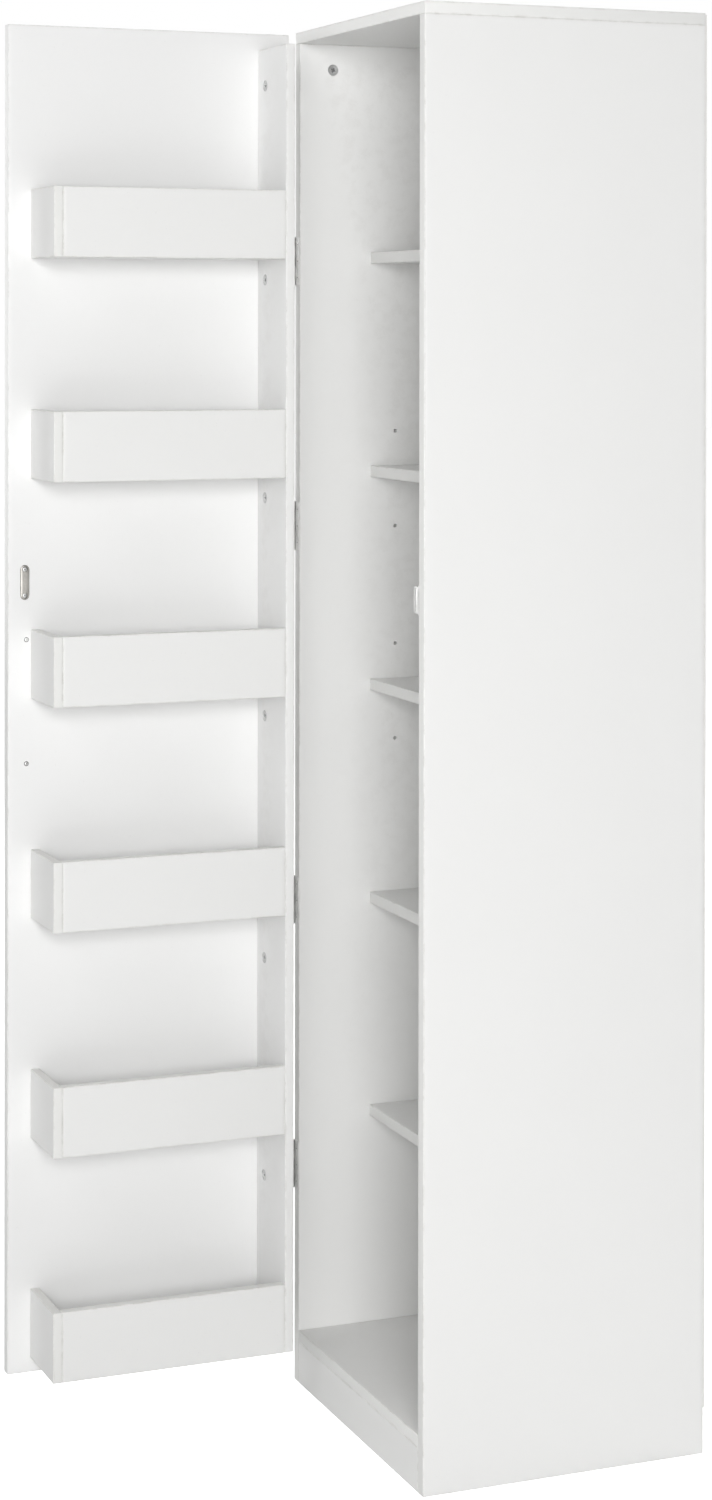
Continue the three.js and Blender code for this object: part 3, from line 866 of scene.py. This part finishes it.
def screw_shape(radius, dome, recess):
    """A screw head: a low dome that rolls over at the rim, its recess, and a closed underside."""
    reach = np.linspace(0, 0.86, 15)[1:] * radius
    rows = [(0.0, dome)] + [(r, dome * (1 - 0.35 * (r / radius) ** 2)) for r in reach]
    rows += [(0.95 * radius, 0.42 * dome), (radius, 0.1 * dome)]
    rows += [(radius, -SCREW_UNDERSIDE), (0.0, -SCREW_UNDERSIDE)]
    return turned_mesh(rows, SCREW_SEGMENTS, recess)


def curled_sheet(path, low_z, high_z):
    """A bent sheet: its middle line moved out by half the thickness on one side and back on the
    other makes one outline, which is carried upwards and is a little thinner at its two end rows."""
    along = np.gradient(path, axis=0)
    across = np.stack([-along[:, 1], along[:, 0]], 1)
    across = across / np.linalg.norm(across, axis=1)[:, None]
    ease = LEAF_END_EASE
    rings = []
    for z, thinner in ((low_z, ease), (low_z + ease, 0), (high_z - ease, 0), (high_z, ease)):
        half = LEAF_THICKNESS / 2 - thinner
        outline = np.concatenate([path + across * half, (path - across * half)[::-1]])
        rings.append(np.column_stack([outline, np.full(len(outline), z)]))
    count = len(rings[0])
    faces = ring_faces(0, 4, count) + [list(range(count)), list(range(3 * count, 4 * count))]
    wear = np.repeat((1.0, 0.3, 0.3, 1.0), count)
    return np.concatenate(rings), faces, wear, np.zeros(len(wear)), []


def curl(start, first, last):
    """A middle line that runs through the start points and then round the hinge axis, from the
    first angle to the last, at the radius that makes the barrel."""
    radius = BARREL_RADIUS - LEAF_THICKNESS / 2
    angle = np.radians(np.linspace(first, last, CURL_STEPS))
    around = radius * np.stack([np.cos(angle), np.sin(angle)], 1)
    return np.concatenate([np.array(start) * MM, around])


def hinge_leaf(node, plate_low, plate_high, thin, side, screw_places, path, owned):
    """A leaf: a flat plate with three screw seats, and knuckles curled from the same sheet."""
    low, high = box_of(node)
    seats = [(side, place, HINGE_SCREW_RADIUS + SEAT_PLAY, SEAT_DEPTH) for place in screw_places]
    plate = board_mesh(plate_low, plate_high, thin, LEAF_ARRIS, LEAF_CORNER, 0, seats)
    parts = [plate]
    tall = (high[2] - low[2] - (KNUCKLE_COUNT - 1) * KNUCKLE_GAP) / KNUCKLE_COUNT
    for index in owned:
        z = low[2] + index * (tall + KNUCKLE_GAP)
        parts.append(curled_sheet(path, z, z + tall))
    caps = plate[4]
    return join_boards(node + "_curled", parts, body_of(node), HINGE_STEEL, [node], caps)


def hinge_pin(node):
    """The pin: a domed head, a straight shank and an eased foot."""
    low, high = box_of(node)
    tall = high[2] - low[2]
    reach = (high[0] - low[0]) / 2
    rows = [(0.0, tall)]
    for angle in np.linspace(0.2, math.pi / 2, 8):
        rows.append((reach * math.sin(angle), tall - PIN_HEAD * (1 - math.cos(angle))))
    rows += [(PIN_RADIUS, tall - PIN_HEAD), (PIN_RADIUS, 0.3 * MM), (0.8 * PIN_RADIUS, 0.0), (0.0, 0.0)]
    spots = [(((low[0] + high[0]) / 2, (low[1] + high[1]) / 2, low[2]), (0, 0, 1))]
    shape = turned_mesh(rows, PIN_SEGMENTS)
    add_turned(node + "_turned", shape, spots, body_of(node), HINGE_STEEL, [node])


def hinge_screw():
    """A flat head that sits almost flush in its seat, with a cross recess."""
    flat = np.linspace(0, 0.9, 15)[1:] * HINGE_SCREW_RADIUS
    rows = [(0.0, HINGE_SCREW_TOP)] + [(r, HINGE_SCREW_TOP) for r in flat]
    rows += [(HINGE_SCREW_RADIUS, -0.1 * MM), (HINGE_SCREW_RADIUS, -0.74 * MM), (0.0, -0.74 * MM)]
    return turned_mesh(rows, SCREW_SEGMENTS, cross_recess(*HINGE_CROSS))


def screw_column(across, low, high):
    """Three places in a column halfway up a leaf, at the two given coordinates across it."""
    middle = (low[2] + high[2]) / 2
    steps = (-HINGE_SCREW_SPACING, 0.0, HINGE_SCREW_SPACING)
    return [np.array((*across, middle + step)) for step in steps]


def carcass_leaf(number, screw):
    """The leaf on the left side's front edge, and its screws. Gives back the place of the hinge
    axis and the screws' angles."""
    node = f"hinge_leaf_carcass_{number}"
    low, high = box_of(node)
    axis = low[:2] + BARREL_RADIUS
    plate_low = np.array((axis[0] + BARREL_REACH, high[1] - LEAF_THICKNESS, low[2]))
    x = (plate_low[0] + high[0]) / 2 + HINGE_SCREW_SHIFT
    places = screw_column((x, plate_low[1]), low, high)
    path = curl(CARCASS_LINE, *CARCASS_CURL) + axis
    hinge_leaf(node, plate_low, high, 1, -1, places, path, CARCASS_KNUCKLES)
    spots = [(place, (0, -1, 0)) for place in places]
    turns = [0.3 + 1.1 * index + number for index in range(3)]
    name = f"hinge_screws_carcass_{number}"
    add_turned(name, screw, spots, body_of(node), SCREW_STEEL, (), turns)
    return axis, turns


def door_leaf(number, screw, axis, turns):
    """The leaf on the door's inner face, and its screws."""
    node = f"hinge_leaf_door_{number}"
    door_face = box_of("door_panel")[1][0]
    low, high = box_of(node)
    plate_low = np.array((door_face, low[1], low[2]))
    plate_high = np.array((door_face + LEAF_THICKNESS, axis[1] - BARREL_REACH, high[2]))
    places = screw_column((plate_high[0], low[1] + HINGE_SCREW_FROM_EDGE), low, high)
    path = curl(DOOR_LINE, *DOOR_CURL) + axis
    hinge_leaf(node, plate_low, plate_high, 0, 1, places, path, DOOR_KNUCKLES)
    spots = [(place, (1, 0, 0)) for place in places]
    name = f"hinge_screws_door_{number}"
    add_turned(name, screw, spots, body_of(node), SCREW_STEEL, (), turns)


def hinges():
    """Leaves, pins, and three almost flush screws in each leaf, so that the leaves can fold flat."""
    screw = hinge_screw()
    for number in range(1, HINGE_COUNT + 1):
        axis, turns = carcass_leaf(number, screw)
        door_leaf(number, screw, axis, turns)
        hinge_pin(f"hinge_pin_{number}")


def catch_housing():
    """The housing: a body with big front corners, and an ear that stands out above and below it."""
    low, high = box_of("catch_housing")
    body_low = low + np.array((0, 0, EAR_HEIGHT))
    body_high = high - np.array((0, 0, EAR_HEIGHT))
    parts = [board_mesh(body_low, body_high, 1, 0.8 * MM, 3.2 * MM, 0, ())]
    ear_low = np.array((high[0] - EAR_THICKNESS, low[1], low[2]))
    parts.append(board_mesh(ear_low, high, 0, 0.5 * MM, 4.0 * MM, 0, ()))
    join_boards("catch_housing_moulded", parts, "carcass", PLASTIC, ["catch_housing"])


def catch_magnet():
    """The magnet, a little sunk between its two pole plates."""
    low, high = box_of("catch_magnet")
    pole = POLE_SHARE * (high[0] - low[0])
    inner_low = low + np.array((pole, MAGNET_SUNK, MAGNET_SUNK))
    inner_high = high - np.array((pole, 0, MAGNET_SUNK))
    part = board_mesh(inner_low, inner_high, 0, 0.2 * MM, 0.4 * MM, 0, ())
    join_boards("catch_magnet_block", [part], "carcass", FERRITE, ["catch_magnet"])
    plates = []
    for start, end in ((low[0], low[0] + pole), (high[0] - pole, high[0])):
        plate_low = np.array((start, low[1], low[2]))
        plate_high = np.array((end, high[1], high[2]))
        plates.append(board_mesh(plate_low, plate_high, 0, 0.15 * MM, 0.8 * MM, 0, ()))
    join_boards("catch_pole_plates", plates, "carcass", HINGE_STEEL, ())


def catch_screws():
    """A screw in each ear of the housing."""
    low, high = box_of("catch_housing")
    screw = screw_shape(*CATCH_SCREW, cross_recess(*CATCH_CROSS))
    middle_y = (low[1] + high[1]) / 2
    face = high[0] - EAR_THICKNESS
    heights = (low[2] + EAR_SCREW_FROM_END, high[2] - EAR_SCREW_FROM_END)
    spots = [((face, middle_y, z), (-1, 0, 0)) for z in heights]
    add_turned("catch_screws", screw, spots, "carcass", SCREW_STEEL, (), (0.4, 1.2))


def strike_plate():
    """An oblong plate with round ends, sunk screw seats, and two bright screws."""
    low, high = box_of("strike_plate")
    middle = (low + high) / 2
    corner = (high[1] - low[1]) / 2 - STRIKE_END_EASE
    seats = []
    spots = []
    for side in (-1, 1):
        place = middle + np.array((0, 0, side * STRIKE_SCREW_SPACING / 2))
        seats.append((1, place, STRIKE_SEAT_RADIUS, STRIKE_SEAT_DEPTH))
        spots.append(((high[0] - STRIKE_SCREW_SUNK, place[1], place[2]), (1, 0, 0)))
    add_board("strike_plate", PLATE_STEEL, 0, STRIKE_ARRIS, corner, STRIKE_BAND, seats)
    screw = screw_shape(*STRIKE_SCREW, cross_recess(*STRIKE_CROSS))
    add_turned("strike_screws", screw, spots, "door", SCREW_STEEL, (), (0.2, 1.0))


def handle_post(post):
    """A turned post with a slight waist, on the outside of the door. Gives back its middle."""
    low, high = box_of(post)
    middle = (low + high) / 2
    radius = (high[2] - low[2]) / 2
    length = high[0] - low[0]
    along = np.linspace(0, 1, 14)
    waist = radius * (1 - POST_WAIST * np.sin(math.pi * along) ** 0.8)
    rows = [(0.0, length)] + [(r, length * (1 - t)) for r, t in zip(waist, along)] + [(0.0, 0.0)]
    shape = turned_mesh(rows, POST_SEGMENTS)
    places = [((high[0], middle[1], middle[2]), (-1, 0, 0))]
    add_turned(post + "_turned", shape, places, "door", HANDLE_NICKEL, [post])
    return middle


def handle():
    """A flat bar with eased arrises on two turned posts, and the two screw heads inside the door."""
    add_board("handle_bar", HANDLE_NICKEL, 0, BAR_ARRIS, BAR_CORNER, 0)
    inner_face = box_of("door_panel")[1][0]
    spots = []
    for post in ("handle_post_lower", "handle_post_upper"):
        middle = handle_post(post)
        spots.append(((inner_face, middle[1], middle[2]), (1, 0, 0)))
    # The groove's dent goes near black in the metal: a painted shadow ring round each head.
    screw = screw_shape(*HANDLE_SCREW, grooved_recess(*HANDLE_CROSS, *HANDLE_GROOVE))
    add_turned("handle_screws", screw, spots, "door", SCREW_STEEL, (), (0.3, 1.3))


def shelf_pins():
    """Four pins under each adjustable shelf: a shank in the side, a collar, and the part it rests on."""
    radius = PIN_HOLE_RADIUS - SHELF_PIN_PLAY
    rows = [(0.0, 8.0 * MM), (radius - 0.5 * MM, 8.0 * MM), (radius, 7.4 * MM), (radius, 1.2 * MM)]
    rows += [(3.4 * MM, 1.1 * MM), (3.5 * MM, 0.9 * MM), (3.5 * MM, 0.15 * MM), (radius, 0.05 * MM)]
    rows += [(radius, -8.0 * MM), (0.0, -8.6 * MM)]
    shape = turned_mesh(rows, SHELF_PIN_SEGMENTS)
    left = box_of("side_panel_left")[1][0]
    right = box_of("side_panel_right")[0][0]
    for shelf in ADJUSTABLE_SHELVES:
        low, high = box_of(shelf)
        spots = []
        for y in (low[1] + PIN_HOLE_FROM_EDGE, high[1] - PIN_HOLE_FROM_EDGE):
            z = low[2] - PIN_HOLE_RADIUS
            spots += [((left, y, z), (1, 0, 0)), ((right, y, z), (-1, 0, 0))]
        add_turned(shelf + "_pins", shape, spots, "carcass", SCREW_STEEL)


def back_nails():
    """Nails along the back panel's four sides and across at each shelf, heads almost flush."""
    low, high = box_of("back_panel")
    rows = [(0.0, 0.35 * MM), (0.6 * NAIL_RADIUS, 0.3 * MM), (NAIL_RADIUS, 0.1 * MM)]
    rows += [(NAIL_RADIUS, -0.2 * MM), (0.0, -0.2 * MM)]
    shape = turned_mesh(rows, NAIL_SEGMENTS)
    columns = np.linspace(low[0] + NAIL_INSET, high[0] - NAIL_INSET, NAIL_COLUMNS)
    rise = np.arange(low[2] + NAIL_INSET, high[2] - NAIL_INSET, NAIL_SPACING)
    spots = [(x, z) for z in rise for x in (columns[0], columns[-1])]
    spots += [(x, z) for x in columns for z in (low[2] + NAIL_INSET, high[2] - NAIL_INSET)]
    for node in nodes_with("shelf_"):
        shelf_low, shelf_high = box_of(node)
        spots += [(x, (shelf_low[2] + shelf_high[2]) / 2) for x in columns[1:-1]]
    places = [((x, high[1], z), (0, 1, 0)) for x, z in spots]
    add_turned("back_nails", shape, places, "carcass", SCREW_STEEL)


# ---- studio ----

def add_placed(name, data, right, up, back, place):
    """An object at the place, whose own X, Y and Z point along right, up and back."""
    made = bpy.data.objects.new(name, data)
    bpy.context.scene.collection.objects.link(made)
    matrix = np.eye(4)
    matrix[:3] = np.column_stack([right, up, back, place])
    made.matrix_world = Matrix(matrix.tolist())
    return made


def camera():
    """The camera at its place: forward from the turn and the tilt, then rolled about forward."""
    level = math.cos(CAMERA_TILT)
    forward = (math.sin(CAMERA_TURN) * level, math.cos(CAMERA_TURN) * level, math.sin(CAMERA_TILT))
    forward = np.array(forward)
    right = np.array((math.cos(CAMERA_TURN), -math.sin(CAMERA_TURN), 0.0))
    up = np.cross(right, forward)
    rolled = right * math.cos(CAMERA_ROLL) + up * math.sin(CAMERA_ROLL)
    upright = -right * math.sin(CAMERA_ROLL) + up * math.cos(CAMERA_ROLL)
    data = bpy.data.cameras.new("camera")
    data.sensor_width = SENSOR
    data.lens = FOCAL_LENGTH * SENSOR / max(IMAGE_SIZE)
    data.shift_x = (IMAGE_SIZE[0] / 2 - LENS_CENTRE[0]) / max(IMAGE_SIZE)
    data.shift_y = (LENS_CENTRE[1] - IMAGE_SIZE[1] / 2) / max(IMAGE_SIZE)
    data.clip_start = CLIP_NEAR
    data.clip_end = CLIP_FAR
    made = add_placed("camera", data, rolled, upright, -forward, CAMERA_PLACE)
    bpy.context.scene.camera = made


def area_light(name, place, size, power):
    """A square soft light at the place, facing the middle of the cabinet."""
    data = bpy.data.lights.new(name, "AREA")
    data.shape = "SQUARE"
    data.size = size
    data.energy = power
    away = np.array(place) - np.array(LIGHT_AIM)
    away = away / np.linalg.norm(away)
    right = np.cross((0.0, 0.0, 1.0), away)
    right = right / np.linalg.norm(right)
    add_placed(name, data, right, np.cross(away, right), away, place)


def white_world():
    """White to the camera all round, and an even fill on everything else."""
    world = bpy.data.worlds.new("studio")
    bpy.context.scene.world = world
    world.use_nodes = True
    tree = world.node_tree
    tree.nodes.clear()
    fill = add_node(tree, "ShaderNodeBackground", {"Color": (1, 1, 1, 1), "Strength": FILL_STRENGTH})
    seen = add_node(tree, "ShaderNodeBackground", {"Color": (1, 1, 1, 1), "Strength": 1.0})
    path = add_node(tree, "ShaderNodeLightPath")
    parts = {0: path.outputs["Is Camera Ray"], 1: fill.outputs[0], 2: seen.outputs[0]}
    both = add_node(tree, "ShaderNodeMixShader", parts)
    add_node(tree, "ShaderNodeOutputWorld", {"Surface": both.outputs[0]})


def pale_floor():
    """One flat face under the cabinet, which the camera sees a little lifted."""
    half = FLOOR_SIZE / 2
    mesh = bpy.data.meshes.new("floor")
    corners = [(-half, -half, 0), (half, -half, 0), (half, half, 0), (-half, half, 0)]
    mesh.from_pydata(corners, [], [(0, 1, 2, 3)])
    floor = bpy.data.objects.new("floor", mesh)
    bpy.context.scene.collection.objects.link(floor)
    material, tree, shader = new_material("pale_floor")
    tone = ramp_of(tree, noise_of(tree, 3.0, 2.0, 0.5), 0.2, 0.8, 0.88, 0.9)
    tree.links.new(grey_of(tree, tone), shader.inputs["Base Color"])
    shader.inputs["Roughness"].default_value = FLOOR_ROUGHNESS
    path = add_node(tree, "ShaderNodeLightPath")
    lift = math_of(tree, "MULTIPLY", path.outputs["Is Camera Ray"], FLOOR_LIFT)
    shader.inputs["Emission Color"].default_value = (1, 1, 1, 1)
    tree.links.new(lift, shader.inputs["Emission Strength"])
    mesh.materials.append(material)


def studio():
    """The world, the soft lights and the floor."""
    bpy.context.scene.view_settings.view_transform = "Standard"
    white_world()
    for name, (place, size, power) in SOFT_LIGHTS.items():
        area_light(name, place, size, power)
    pale_floor()


camera()
studio()
carcass_boards()
door_boards()
cam_locks()
hinges()
catch_housing()
catch_magnet()
catch_screws()
strike_plate()
handle()
shelf_pins()
back_nails()
